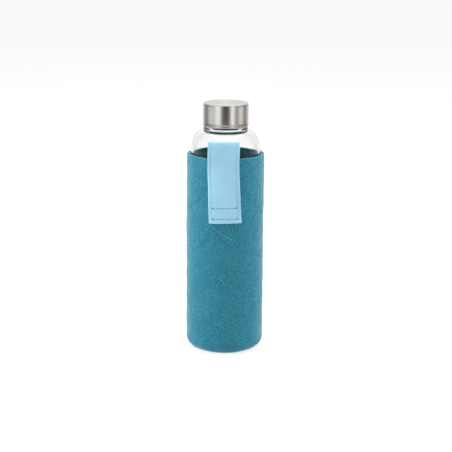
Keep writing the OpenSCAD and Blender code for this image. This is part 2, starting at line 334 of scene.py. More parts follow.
def thread_material(name, colour, pale):
    """Two-ply sewing thread: a twist along each stitch and a little fluff in its colour."""
    s = Shader(name, Roughness=0.65, Sheen_Weight=0.3, Sheen_Roughness=0.4,
               Sheen_Tint=(0.5, 0.8, 0.9, 1), Specular_IOR_Level=0.15)
    uv = s.add("TexCoord").outputs["UV"]
    turned = s.add("Mapping", {"Vector": uv, "Rotation": (0, 0, 0.5), "Scale": (5, 2, 1)})
    twist = s.add("TexWave", {"Vector": turned.outputs["Vector"], "Scale": 1.6,
                              "Distortion": 0.4}).outputs["Fac"]
    fluff = s.noise(s.place_coords(), 2600, 2)
    s.colour(s.mix(fluff, s.mix(twist, tuple(c * 0.8 for c in colour), colour), pale))
    s.bump(twist, 0.00009, 0.8)
    return s.material


def leather_material(name, base, deep, pale, grain_scale):
    """Smooth leatherette: faint pebble grain, soft cloudiness and a satin surface."""
    s = Shader(name, Roughness=0.46, Specular_IOR_Level=0.42, Coat_Weight=0.08,
               Coat_Roughness=0.35)
    coords = s.place_coords()
    cloud = s.noise(coords, 70, 3, 0.5)
    speck = s.noise(coords, 900, 3, 0.6)
    tone = s.ramp(cloud, (0.3, deep), (0.52, base), (0.75, pale))
    s.colour(s.mix(s.maths("MULTIPLY", speck, 0.22), tone, pale))
    pebble = s.add("TexVoronoi", {"Vector": coords, "Scale": grain_scale, "Randomness": 1.0},
                   feature="SMOOTH_F1").outputs["Distance"]
    s.roughness(speck, 0.38, 0.56)
    under = s.bump(pebble, 0.00006, 0.45)
    s.bump(s.noise(coords, 2600, 2), 0.00003, 0.5, under)
    return s.material


def steel_material(name, along_z):
    """Brushed stainless steel. The lines run around the side, and spin about the axis on top."""
    s = Shader(name, Metallic=1.0, Roughness=0.18, Anisotropic=0.85)
    if along_z:
        lines = s.noise(s.place_coords((0.012, 0.012, 1)), 9000, 4, 0.7)
        broad = s.noise(s.place_coords((0.03, 0.03, 1)), 1500, 2)
    else:
        coords = s.place_coords()
        split = s.add("SeparateXYZ", {"Vector": coords})
        squares = s.maths("ADD", s.maths("MULTIPLY", split.outputs["X"], split.outputs["X"]),
                          s.maths("MULTIPLY", split.outputs["Y"], split.outputs["Y"]))
        radius = s.add("CombineXYZ", {"X": s.maths("SQRT", squares)}).outputs["Vector"]
        lines = s.noise(radius, 9000, 4, 0.7)
        broad = s.noise(radius, 1500, 2)
    tone = s.ramp(lines, (0.3, (0.60, 0.585, 0.56)), (0.7, (0.72, 0.705, 0.68)))
    s.colour(s.mix(s.maths("MULTIPLY", broad, 0.3), tone, (0.66, 0.645, 0.62)))
    s.roughness(lines, 0.13, 0.24)
    s.bump(lines, 0.000012, 0.35)
    tangent = s.add("Tangent", direction_type="RADIAL", axis="Z")
    s.links.new(tangent.outputs["Tangent"], s.bsdf.inputs["Tangent"])
    return s.material


def glass_material():
    """Clear glass with the slight waviness of a blown wall."""
    s = Shader("clear_glass", Roughness=0.0, IOR=1.47, Transmission_Weight=1.0,
               Specular_Tint=(0.25, 0.25, 0.25, 1), Base_Color=(0.954, 0.962, 0.961, 1))
    s.bump(s.noise(s.place_coords((1, 1, 0.5)), 22, 1), 0.0006, 0.12)
    return s.material


def plastic_material(name, colour, rough, scatter):
    """Moulded plastic or rubber with a fine moulding grain."""
    s = Shader(name, Roughness=rough, Subsurface_Weight=scatter, Subsurface_Scale=0.002,
               Subsurface_Radius=(1, 0.9, 0.8))
    coords = s.place_coords()
    mottle = s.noise(coords, 160, 2)
    s.colour(s.mix(s.maths("MULTIPLY", mottle, 0.5), colour, tuple(c * 0.94 for c in colour)))
    fine = s.noise(coords, 2400, 2)
    s.roughness(fine, rough - 0.06, rough + 0.08)
    s.bump(fine, 0.00002, 0.4)
    return s.material


FELT = felt_material("teal_felt", (0.009, 0.095, 0.148), (0.023, 0.165, 0.240),
                     (0.056, 0.258, 0.345))
# Painted light: a brighter copy of the felt for its inner face, standing in for light that the glass
# keeps from it.
FELT_INSIDE_PAINTED_LIGHT = felt_material("teal_felt_inside_painted_light", (0.010, 0.20, 0.26), (0.024, 0.30, 0.38),
                            (0.05, 0.42, 0.50))
QUILT_THREAD = thread_material("teal_thread", (0.055, 0.32, 0.44), (0.10, 0.46, 0.60))
STRAP_LEATHER = leather_material("sky_leatherette", (0.275, 0.515, 0.675),
                                 (0.255, 0.490, 0.650), (0.305, 0.555, 0.715), 1100)
STRAP_BACK = leather_material("leatherette_back", (0.25, 0.50, 0.66), (0.21, 0.45, 0.61),
                              (0.30, 0.56, 0.71), 700)
EDGE_THREAD = thread_material("strap_edge_thread", (0.20, 0.43, 0.58), (0.30, 0.56, 0.72))
# Painted shade: the anchor thread is coloured far darker than the strap, standing in for the shade
# in its stitches and needle holes.
SHADE_PAINTED_ANCHOR_THREAD = thread_material("strap_anchor_thread", (0.05, 0.13, 0.19), (0.10, 0.22, 0.30))
STEEL_SIDE = steel_material("steel_brushed_round", True)
STEEL_TOP = steel_material("steel_spun", False)
GLASS = glass_material()
LINER = plastic_material("liner_plastic", (0.80, 0.80, 0.78), 0.42, 0.15)
SILICONE = plastic_material("white_silicone", (0.84, 0.84, 0.82), 0.5, 0.3)


# ---------------------------------------------------------------- felt sleeve
QUILT_STEP = math.pi / (DIAMONDS * SIDE_STITCHES)
PILLOW_RISE, GROOVE_DEPTH, PIT_DEPTH, PRESS_DEPTH = 0.42, 0.26, 0.42, 0.35
SEAM_DEPTH, SEAM_W = 0.75, 0.75
# Waves in the felt's face: height, how many around, how they turn with height, and start.
UNEVEN = ((0.10, 3, 0.05, 1.0), (0.07, 5, -0.083, 0.4), (0.05, 11, 0.21, 0),
          (0.04, 17, -0.37, 2.0))
# Waves in the rim: height, how many around, and start.
RIM_WAVES = ((0.22, 4, 0.6), (0.12, 9, 2), (0.06, 23, 0))


def line_gap(theta, height, rise):
    """Distance from a point on the felt to the nearest stitched line that rises or falls."""
    off = (height - QUILT_PHASE) / DIAMOND_H - rise * (theta - QUILT_TURN) * DIAMONDS / (2 * math.pi)
    off = (off + 0.5) % 1 - 0.5
    return np.abs(off) * DIAMOND_H * math.cos(QUILT_SLOPE)


def needle_pit(theta, gap, shift):
    """Small dimples in a stitched line, where the thread dives between two stitches."""
    off = ((theta - QUILT_TURN + math.pi) / QUILT_STEP - shift) % 1 - 0.5
    return bell(off * QUILT_STEP * SLEEVE_R, 0.62) * bell(gap, 0.75)


def wrap(theta):
    """An angle brought to between -pi and pi."""
    return (theta + math.pi) % (2 * math.pi) - math.pi


def strap_x(z):
    """The strap's middle: sewn on at a lean, and pulled upright by its fold."""
    upright = 0.55 * smooth(z, 176, 196) - 0.3 * bell(z - 172, 14) + 0.15 * bell(z - 126, 8)
    return STRAP_SHIFT - math.tan(STRAP_LEAN) * (z - STRAP_MID_Z) + upright


def felt_relief(theta, height):
    """How far the outer felt stands out of its plain shape: pillows, grooves, the back seam."""
    rising, falling = line_gap(theta, height, 1), line_gap(theta, height, -1)
    pillow = PILLOW_RISE * (1 - bell(rising, 8)) * (1 - bell(falling, 8))
    groove = GROOVE_DEPTH * np.maximum(bell(rising, 1.5), bell(falling, 1.5))
    pits = np.maximum(needle_pit(theta, rising, 0), needle_pit(theta, falling, 0.5))
    groove = groove + PIT_DEPTH * pits
    seam = SEAM_DEPTH * bell(wrap(theta - math.pi) * SLEEVE_R, SEAM_W)
    uneven = sum(size * np.sin(count * theta + twist * height + start)
                 for size, count, twist, start in UNEVEN)
    x = SLEEVE_R * np.sin(theta)
    pressed = 0.0
    for z in ANCHOR_Z:
        across = smooth(13 - np.abs(x - strap_x(z)), 0, 1.5) * (np.cos(theta) > 0)
        pressed = pressed + PRESS_DEPTH * across * bell(height - z, 1.6)
    top = smooth(SLEEVE_H - 1.5 - height, 0, 4)
    return (pillow - groove) * (0.25 + 0.75 * top) + uneven * top - seam - pressed


def build_sleeve_wall():
    """Felt tube, turned in at the base, with quilted relief and room for the strap's inner leg."""
    segments, row_step = 360, 0.7
    rim_r, lip_r = 0.95, 0.95 * 0.7
    recess_depth, recess_half_w = 1.5, 16.6
    parts = []

    def add(points, normal, height, outer, inner, rim):
        """Rows of the profile, and how much each takes of the relief, recess and rim waves."""
        row = np.zeros((len(points), 8))
        row[:, :2], row[:, 2:4], row[:, 4] = points, normal, height
        row[:, 5], row[:, 6], row[:, 7] = outer, inner, rim
        parts.append(row)

    low_arc = arc(BASE_R, CORNER_R, CORNER_R, CORNER_R, -86, 0, 18)
    away = (low_arc - [BASE_R, CORNER_R]) / CORNER_R
    turn = np.arctan2(away[:, 1], away[:, 0])
    add(low_arc, away, CORNER_R + CORNER_R * turn, smooth(low_arc[:, 1], 0.0, 2.0), 0, 0)
    z = np.arange(CORNER_R + row_step, SLEEVE_H - rim_r, row_step)
    side = np.column_stack([np.full(len(z), SLEEVE_R), z])
    add(side, [1, 0], z, 1, 0, smooth(z, SLEEVE_H - 12, SLEEVE_H - 1))
    rim = arc(SLEEVE_R - rim_r, SLEEVE_H - rim_r, rim_r, rim_r, 0, 90, 5)
    add(rim, [1, 0], rim[:, 1], np.linspace(1, 0.3, len(rim)), 0, 1)
    inner_rim = arc(FELT_IN_R + lip_r, SLEEVE_H - lip_r, lip_r, lip_r, 90, 180, 4)
    add(inner_rim, [1, 0], inner_rim[:, 1], 0, np.linspace(0, 1, len(inner_rim)), 1)
    z = np.concatenate([np.arange(SLEEVE_H - 2, STRAP_LOW - 6, -1.6),
                        np.arange(STRAP_LOW - 6, CORNER_R, -3.5)])
    inside = np.column_stack([np.full(len(z), FELT_IN_R), z])
    add(inside, [1, 0], z, 0, 1, smooth(z, SLEEVE_H - 12, SLEEVE_H - 1))
    turned_in = arc(BASE_R, CORNER_R, CORNER_R - FELT_T, CORNER_R - FELT_T, 0, -90, 8)
    add(turned_in, [1, 0], turned_in[:, 1], 0, 0, 0)
    edge = np.array([[BASE_R, 2.1], [BASE_R + 0.05, 1.1], [BASE_R + 0.3, 0.45]])
    add(edge, [1, 0], edge[:, 1], 0, 0, 0)

    rows = np.vstack(parts)
    r, z, nr, nz, height, outer, inner, rim_w = [rows[:, k:k + 1] for k in range(8)]
    theta = np.linspace(-math.pi, math.pi, segments, endpoint=False)[None, :]
    relief = felt_relief(theta, height) * outer
    x = r * np.sin(theta)
    recess = (recess_depth * smooth(recess_half_w - np.abs(x - strap_x(z)), 0, 1.2)
              * (np.cos(theta) > 0) * smooth(z, STRAP_LOW - 2.5, STRAP_LOW - 0.8))
    wave = sum(size * np.sin(count * theta + start) for size, count, start in RIM_WAVES)
    r2 = r + nr * relief + recess * inner
    z2 = z + nz * relief + wave * rim_w
    verts = round_points(r2, z2, theta).reshape(-1, 3)
    return mesh_object("felt_wall", verts, grid_faces(len(rows), segments, True, True))


def build_sleeve_base():
    """Felt disc, rounded at its sewn edge, and slightly dished away from the table."""
    disc_r = BASE_R - 0.1
    outline = np.vstack([
        [[0, 0.0]], [[disc_r - 1.6, 0.0]],
        arc(disc_r - 0.9, 0.9, 0.9, 0.9, -90, 0, 5),
        [[disc_r, FELT_T - 0.25]], [[disc_r - 0.3, FELT_T]], [[0, FELT_T]],
    ])

    def uneven(theta, r, z):
        under = (z < 1) & (r < disc_r - 2)
        swell = 0.06 * (1 + np.sin(r * 1.1 + 2 * theta) * np.cos(r * 0.6 - theta))
        return r, z + swell * under

    return lathe("felt_base", densify(outline, 1.3), 128, uneven)


def felt_line(theta, height, lift):
    """Points over the felt's outer surface, lifted off it."""
    r = SLEEVE_R + felt_relief(theta, height) + lift
    low = np.minimum(height - CORNER_R, 0) / CORNER_R
    r = np.where(low < 0, r - CORNER_R * (1 - np.cos(low)), r)
    z = np.where(low < 0, CORNER_R + CORNER_R * np.sin(low), height)
    return round_points(r, z, theta)


def arch(count, height, sink):
    """The rise of a stitch over its length: both ends dive into the cloth."""
    t = np.linspace(-1, 1, count)
    return -sink + (height + sink) * np.sqrt(1 - 0.999 * t ** 4)


def build_quilting(name, rise):
    """One family of stitched lines. Rising lines have a stitch on each crossing."""
    rng = np.random.default_rng(11 if rise > 0 else 12)
    per_turn, step = 2 * DIAMONDS * SIDE_STITCHES, QUILT_STEP
    shift = 0.0 if rise > 0 else 0.5
    low, high, seam_gap = 4.5, SLEEVE_H - 2, math.radians(6)
    t = np.linspace(-1, 1, 9)
    lift = arch(9, 0.20, 0.55)
    lines = []
    for i in range(per_turn):
        for k in range(-DIAMONDS, math.ceil(SLEEVE_H / DIAMOND_H) + DIAMONDS):
            a = QUILT_TURN - math.pi + (i + shift) * step
            z = QUILT_PHASE + DIAMOND_H * (k + rise * (a - QUILT_TURN) * DIAMONDS / (2 * math.pi))
            if not low < z < high or abs(a) > math.pi - seam_gap:
                continue
            half = 0.30 + rng.uniform(-0.03, 0.03)
            skew = rng.uniform(-0.16, 0.16)
            theta = a + t * half * step
            height = z + rise * t * half * step * DIAMOND_H * DIAMONDS / (2 * math.pi) + skew * t
            lines.append(felt_line(theta, height, lift * rng.uniform(0.8, 1.15)))
    return stitches(name, lines, THREAD_R)


def build_back_seam():
    """Zigzag across the butted edges of the felt panel. Each stitch bridges the seam's groove
    and stops short of the next one."""
    margin, reach = 2, 0.93
    t = np.linspace(-1, 1, 13)
    theta = math.pi + t * ZIGZAG_HALF_W * reach / SLEEVE_R
    lift = arch(13, 0.30, 0.5) + SEAM_DEPTH * bell(t * ZIGZAG_HALF_W, SEAM_W)
    lines = []
    for i in range(int((SLEEVE_H - CORNER_R - 2 * margin) / ZIGZAG_PITCH)):
        way = 1 if i % 2 == 0 else -1
        z = CORNER_R + margin + ZIGZAG_PITCH * (i + 0.5)
        lines.append(felt_line(theta, z + way * t * ZIGZAG_PITCH / 2 * reach, lift))
    return stitches("back_seam_stitches", lines, THREAD_R)


def build_base_seam():
    """Running stitches down in the groove between the base disc and the wall."""
    count, half_stitch, groove_z = 54, 0.36, 0.62
    t = np.linspace(-1, 1, 7)
    lines = []
    for i in range(count):
        theta = (i + t * half_stitch) * 2 * math.pi / count
        lines.append(round_points(BASE_R, groove_z - arch(7, 0.12, 0.2), theta))
    return stitches("base_seam_stitches", lines, THREAD_R)


felt_wall = place(build_sleeve_wall(), "sleeve", FELT, "felt", "sleeve_wall")
felt_wall.data.materials.append(FELT_INSIDE_PAINTED_LIGHT)
for face in felt_wall.data.polygons:  # the inner side, between the base corner and the rim, takes the painted-light copy
    inward = face.normal.xy.dot(face.center.xy) < 0
    if inward and CORNER_R * MM < face.center.z < (SLEEVE_H - 2.5) * MM:
        face.material_index = 1
felt_base = place(build_sleeve_base(), "sleeve", FELT, "felt", "sleeve_base")
quilting = [place(build_quilting("quilt_stitches_" + way, rise), "sleeve", QUILT_THREAD,
                  "quilt_thread", "quilt_thread_" + way)
            for way, rise in (("rising", 1), ("falling", -1))]
back_seam = place(build_back_seam(), "sleeve", QUILT_THREAD, "quilt_thread", "back_seam_thread")
base_seam = place(build_base_seam(), "sleeve", QUILT_THREAD, "quilt_thread", "base_seam_thread")


# ---------------------------------------------------------------- strap
STRAP_FELT_GAP, STRAP_GLASS_GAP = 0.4, 0.45
STRAP_OUT_R = SLEEVE_R + STRAP_FELT_GAP + STRAP_HALF_T
STRAP_IN_R = GLASS_R + STRAP_GLASS_GAP + STRAP_HALF_T
LINING_W, LINING_INSET = 26.4, 0.6


def bezier(p, q, r, s, count):
    """Points of a cubic curve from p to s, ends included."""
    t = np.linspace(0, 1, count)[:, None]
    p, q, r, s = (np.array(point, float) for point in (p, q, r, s))
    return ((1 - t) ** 3 * p + 3 * t * (1 - t) ** 2 * q + 3 * t * t * (1 - t) * r + t ** 3 * s)


def strap_route():
    """The strap's middle line as radius and height, with its length so far and its normal."""
    top, mid_r = STRAP_TOP - STRAP_HALF_T, STRAP_IN_R + 1.45
    leg = np.column_stack([np.full(200, STRAP_OUT_R), np.linspace(STRAP_LOW, SLEEVE_H - 6, 200)])
    swell = bezier(leg[-1], (STRAP_OUT_R + 0.8, SLEEVE_H + 5), (STRAP_OUT_R + 0.3, top),
                   (mid_r, top), 80)
    fold = bezier((mid_r, top), (mid_r - 1.1, top), (STRAP_IN_R, top - 0.9),
                  (STRAP_IN_R, top - 3), 30)
    inner = np.column_stack([np.full(200, STRAP_IN_R), np.linspace(top - 3, STRAP_LOW, 200)])
    line = np.vstack([leg, swell[1:], fold[1:], inner[1:]])
    length = np.concatenate([[0], np.cumsum(np.linalg.norm(np.diff(line, axis=0), axis=1))])
    way = np.gradient(line, axis=0)
    way /= np.linalg.norm(way, axis=1, keepdims=True)
    return line, length, np.column_stack([way[:, 1], -way[:, 0]])


ROUTE, ROUTE_LENGTH, ROUTE_NORMAL = strap_route()
STRAP_LENGTH = ROUTE_LENGTH[-1]


def strap_points(s, u, n):
    """Points on the strap: s along it from the outer end, u across it, n out of its middle."""
    s, u, n = np.broadcast_arrays(s, u, n)
    r, z = np.interp(s, ROUTE_LENGTH, ROUTE[:, 0]), np.interp(s, ROUTE_LENGTH, ROUTE[:, 1])
    nr = np.interp(s, ROUTE_LENGTH, ROUTE_NORMAL[:, 0])
    nz = np.interp(s, ROUTE_LENGTH, ROUTE_NORMAL[:, 1])
    outer = 1 - smooth(s, 62, 80)  # 1 on the outer leg, 0 past the fold
    wide = 1 + 0.022 * (1 - smooth(s, 0, 40)) - 0.012 * smooth(s, 25, 60) * outer
    x = strap_x(z) + u * wide
    r = r + n * nr
    # Curved around the sleeve low down, and flat across at the fold.
    flat = smooth(z, SLEEVE_H - 24, SLEEVE_H + 8) * outer
    flat = np.maximum(flat, smooth(z, SLEEVE_H + 1, SLEEVE_H + 11))
    y = -(np.sqrt(np.maximum(r * r - x * x, 1.0)) * (1 - flat) + r * flat)
    # The foot and the long edges stand off the felt, the right edge most.
    right, left = np.clip(u / 15, 0, 1.1), np.clip(-u / 15, 0, 1.1)
    y = y - 0.6 * outer * (1 - smooth(s, 0, 7))
    y = y - 1.5 * right ** 1.7 * (1 - smooth(s, 10, 62)) - 0.8 * left ** 2 * (1 - smooth(s, 0, 40))
    # The foot is cut square to the strap's lean.
    z = z + n * nz + u * math.sin(STRAP_LEAN) * outer * (1 - smooth(s, 10, 66))
    return np.stack([x, y, z], axis=-1)


def needle_holes(s, u):
    """Depth of the small pits that the thread goes down."""
    depth = 0.0
    for line in (-EDGE_STITCH_U, EDGE_STITCH_U):
        off = (s + EDGE_PITCH / 2) % EDGE_PITCH - EDGE_PITCH / 2
        depth = depth + 0.16 * bell(off, 0.3) * bell(u - line, 0.3)
    for z in ANCHOR_Z:
        off = (u + ANCHOR_PITCH / 2) % ANCHOR_PITCH - ANCHOR_PITCH / 2
        reach = np.abs(u) < ANCHOR_HALF_W + 0.6
        end = 0.75 + 0.9 * bell(np.abs(u) - ANCHOR_HALF_W, 0.9)
        for row in (z - STRAP_LOW, STRAP_LENGTH - (z - STRAP_LOW)):
            depth = depth + 0.3 * end * reach * bell(off - 0.3, 0.3) * bell(s - row, 0.4)
    return depth


def strap_relief(s, u):
    """Relief of the strap's face: turned edges, sewn grooves, the puffed hem between the rows."""
    edge = 0.12 * bell(np.abs(u) - 13.4, 1.3)
    groove = 0.1 * bell(np.abs(u) - EDGE_STITCH_U, 0.6)
    puff = 0.0
    for side in (s, STRAP_LENGTH - s):
        for z in ANCHOR_Z:
            row = z - STRAP_LOW
            groove = groove + 0.03 * bell(side - row, 0.6) * (np.abs(u) < 12.6)
        puff = puff + 0.16 * bell(side - 9.2, 3.6) * smooth(12 - np.abs(u), 0, 2)
    wave = 0.05 * np.sin(s * 0.23 + 0.4) * np.cos(u * 0.16) + 0.03 * np.sin(s * 0.71 + u * 0.3)
    wave = wave * smooth(STRAP_LENGTH - s, 60, 90)
    return edge - groove + puff + wave - needle_holes(s, u)


def strap_rows():
    """Places along the strap, close together at the anchor rows' needle holes."""
    step, fine_step = 0.5, 0.2
    marks = [0.0]
    while marks[-1] < STRAP_LENGTH:
        s = marks[-1]
        end = min(s, STRAP_LENGTH - s)
        fine = any(abs(end - (z - STRAP_LOW)) < 1.3 for z in ANCHOR_Z)
        marks.append(s + (fine_step if fine else step))
    marks[-1] = STRAP_LENGTH
    return np.array(marks)


def strip(name, s, u_loop, n_loop):
    """A closed strip: a cross-section loop swept along the strap, with both ends filled."""
    verts = strap_points(s[:, None], u_loop, n_loop)
    rows, cols = verts.shape[:2]
    faces = grid_faces(rows, cols, False, True)
    faces += [tuple(range(cols))[::-1], tuple(range((rows - 1) * cols, rows * cols))]
    return mesh_object(name, verts.reshape(-1, 3), faces)


def build_strap_face():
    """Face ply: its long edges are turned round to the back as a narrow hem."""
    s = strap_rows()
    edge_r, half = 0.475, STRAP_W / 2
    flat = half - edge_r
    fine = np.concatenate([np.linspace(-12.6, -11.0, 7), np.linspace(11.0, 12.6, 7)])
    u_out = np.unique(np.round(np.concatenate([np.arange(-10.75, 11, 0.375), fine,
                                               [-flat, -14, -13.3, 13.3, 14, flat]]), 3))
    bend = np.radians(np.linspace(90, -90, 8)[1:-1])
    hem, step = 10.9, 10.5
    u_back = np.array([flat, 13, hem, step, 7, 3.5, 0, -3.5, -7, -step, -hem, -13, -flat])
    n_back = np.where(np.abs(u_back) >= hem, -0.35, -0.05)
    u = np.concatenate([u_out, flat + edge_r * np.cos(bend), u_back,
                        -flat - edge_r * np.cos(bend[::-1])])
    mid_n = 0.125
    n = np.concatenate([np.full(len(u_out), STRAP_HALF_T), mid_n + edge_r * np.sin(bend),
                        n_back, mid_n + edge_r * np.sin(bend[::-1])])
    on_face = np.concatenate([np.ones(len(u_out)), np.full(len(bend), 0.4),
                              np.zeros(len(u_back)), np.full(len(bend), 0.4)])
    relief = strap_relief(s[:, None], u) * on_face
    inner = smooth(s[:, None], STRAP_LENGTH - 70, STRAP_LENGTH - 60)
    relief = np.where(relief > 0, relief * (1 - 0.75 * inner), relief)
    return strip("strap_outer_ply", s, u, n + relief)


def build_strap_lining():
    """Backing ply, sewn over the turned hems."""
    s = np.linspace(LINING_INSET, STRAP_LENGTH - LINING_INSET, 260)
    u_top = np.array([-13.2, -12, -11.2, -10.3, -6, 0, 6, 10.3, 11.2, 12, 13.2])
    n_top = np.where(np.abs(u_top) > 11, -0.36, -0.07)
    u_low = u_top[::-1]
    n_low = np.where(np.abs(u_low) > 11, -0.6, -0.34)
    return strip("strap_inner_ply", s, np.concatenate([u_top, u_low]),
                 np.concatenate([n_top, n_low]))


def build_edge_stitches(name, u):
    """Running stitches up one edge of the outer leg, over the fold and down the inner leg. They
    leave out the places of the anchor rows."""
    t = np.linspace(-1, 1, 9)
    lines = []
    for k in range(int(STRAP_LENGTH / EDGE_PITCH)):
        s = (k + 0.5) * EDGE_PITCH
        end = min(s, STRAP_LENGTH - s)
        if any(abs(end - (z - STRAP_LOW)) < 1.6 for z in ANCHOR_Z) or end < 1.8:
            continue
        inner = s > STRAP_LENGTH - 72
        lift = arch(9, -0.14 if inner else -0.03, 0.36)
        run = s + t * (EDGE_PITCH / 2 - 0.28)
        lines.append(strap_points(run, u, STRAP_HALF_T + lift))
    return stitches(name, lines, EDGE_THREAD_R)


def build_anchor_row(name, z):
    """A row of lockstitch on both legs, with a short tack across it at each end."""
    gap, tack_inset, tack_up, tack_half = 0.55, 0.6, 0.3, 0.85
    t = np.linspace(-1, 1, 9)
    lines = []
    row = z - STRAP_LOW
    for side, top in ((row, 0.04), (STRAP_LENGTH - row, -0.14)):
        n = STRAP_HALF_T + arch(9, top, 0.45)
        for k in range(ANCHOR_STITCHES):
            u = (k + 0.5 - ANCHOR_STITCHES / 2) * ANCHOR_PITCH
            run = u + t * (ANCHOR_PITCH / 2 - gap - 0.15 * math.sin(2.3 * k))
            tilt = 0.09 * math.sin(1.7 * k + z)
            lines.append(strap_points(side + tilt * t, run, n))
        for end in (-1, 1):
            u = end * (ANCHOR_HALF_W - tack_inset) + 0.15 * t
            lines.append(strap_points(side + tack_up + tack_half * t, u, n))
    return stitches(name, lines, ANCHOR_THREAD_R)


strap_face = place(build_strap_face(), "sleeve", STRAP_LEATHER, "strap_leather", "strap_face")
strap_lining = place(build_strap_lining(), "sleeve", STRAP_BACK, "strap_backing", "strap_lining")
edge_rows = [place(build_edge_stitches("strap_edge_stitches_" + side, u), "sleeve", EDGE_THREAD,
                   "strap_thread", "strap_edge_thread_" + side)
             for side, u in (("left", -EDGE_STITCH_U), ("right", EDGE_STITCH_U))]
# The anchor rows use the thread with painted shade.
anchor_rows = [place(build_anchor_row("strap_anchor_stitches_" + level, z), "sleeve", SHADE_PAINTED_ANCHOR_THREAD,
                     "strap_thread", "strap_anchor_thread_" + level)
               for level, z in zip(("upper", "lower"), ANCHOR_Z)]


# ---------------------------------------------------------------- glass and cap
NECK_R = 17.3
LINER_BORE_R = 18.6
RIDGE_TURNS = 0.8
OUTER_RIDGE_Z = MOUTH_Z - 14
INNER_RIDGE_Z = OUTER_RIDGE_Z - LEAD / 4
STEEL_T, LINER_ROOF_T, SEAL_GAP = 0.5, 1.6, 0.15
SEAL_Z = MOUTH_Z + 0.2
ROOF_Z = CAP_TOP - STEEL_T - LINER_ROOF_T
HEM_T = 1.7
# The rolled hem, seen in section: how far out of the cap's side, and how high.
HEM = ((0, 3.0), (-0.05, 2.8), (-0.02, 2.6), (0.05, 2.45), (0.07, 2.25), (0.06, 1.9), (0.01, 1.5),
       (-0.08, 1.15), (-0.23, 0.8), (-0.44, 0.5), (-0.7, 0.25), (-1.0, 0.08), (-1.2, 0.02),
       (-1.32, 0.3), (-1.3, 1.2), (-1.0, 2.2))


def thread_height(theta, z, low_z):
    """How far the two-start thread stands out at a point, from 0 to 1. Its turns start at +X."""
    best = np.zeros_like(z)
    for start in (0.0, 0.5):
        turn = ((theta - math.pi / 2) / (2 * math.pi) - start) % 1
        gap = np.abs(z - (low_z + LEAD * turn))
        fade = np.clip(np.minimum(turn, RIDGE_TURNS - turn) / 0.1, 0, 1)
        best = np.maximum(best, smooth(0.87 - gap, 0, 0.46) * fade)
    return best


def build_glass():
    """Blown bottle: punted floor, elliptical shoulder, transfer bead and threaded neck."""
    corner, punt_h, punt_r = 7.0, 1.6, 22.0
    collar_r, flat_r, shoulder_z = 19.7, 20.5, 186.0
    shoulder_top = MOUTH_Z - 20.9
    bead_h = 1.15
    bead_z = shoulder_top + 0.25 + bead_h
    wall, lip = 1.8, 0.8
    inner_r = GLASS_R - wall
    in_corner, in_floor = corner - wall, GLASS_Z + 3.2
    in_top, in_collar_r, fillet = shoulder_top - 1.6, 20.4, 1.6
    k = np.linspace(0, 1, 13)
    outside = np.vstack([
        np.column_stack([punt_r * k, GLASS_Z + punt_h * (1 - k ** 2)]),
        arc(GLASS_R - corner, GLASS_Z + corner, corner, corner, -90, 0, 14),
        arc(flat_r, shoulder_z, GLASS_R - flat_r, shoulder_top - shoulder_z, 0, 88, 46),
        arc(collar_r + 0.35, shoulder_top + 0.12, 0.35, 0.2, -110, -200, 4),
        arc(collar_r, bead_z, 0.75, bead_h, -75, 75, 16),
    ])
    neck = np.vstack([
        arc(NECK_R + 1.9, bead_z + 2.5, 1.9, 1.0, -100, -180, 8),
        [[NECK_R, z] for z in np.arange(bead_z + 2.8, MOUTH_Z - lip, 0.22)],
        arc(NECK_R - lip, MOUTH_Z - lip, lip, lip, 0, 90, 6),
    ])
    inside = np.vstack([
        arc(BORE_R + lip, MOUTH_Z - lip, lip, lip, 90, 180, 6),
        arc(BORE_R + fillet, in_top + fillet, fillet, fillet, 180, 262, 8),
        arc(in_collar_r, shoulder_z - 0.5, inner_r - in_collar_r,
            in_top - shoulder_z + 0.5, 90, 0, 46),
        arc(inner_r - in_corner, in_floor + in_corner, in_corner, in_corner, 0, -90, 12),
        np.column_stack([punt_r * k[::-1], in_floor + punt_h * (1 - k[::-1] ** 2)]),
    ])

    def ridges(theta, r, z):
        on_neck = np.abs(r - NECK_R) < 0.01
        return r + thread_height(theta, z, OUTER_RIDGE_Z) * on_neck, z

    return lathe("glass_body", np.vstack([densify(outside, 3.0), neck, densify(inside, 3.0)]),
                 224, ridges)


def build_cap_shell():
    """Drawn steel cup. The top has a faint dish, and the hem is rolled round the lower edge."""
    edge = 1.2
    outline = np.vstack([
        [[0, CAP_TOP - 0.12]], [[CAP_R - 6, CAP_TOP - 0.1]], [[CAP_R - 3, CAP_TOP - 0.03]],
        arc(CAP_R - edge, CAP_TOP - edge, edge, edge, 90, 0, 14),
        [[CAP_R + r, CAP_Z + z] for r, z in HEM],
        [[CAP_R - STEEL_T, CAP_Z + 3.2]],
        arc(CAP_R - edge, CAP_TOP - edge, edge - STEEL_T, edge - STEEL_T, 0, 90, 6),
        [[0, CAP_TOP - STEEL_T - 0.12]],
    ])
    return lathe("cap_steel", densify(outline, 1.2), 256)


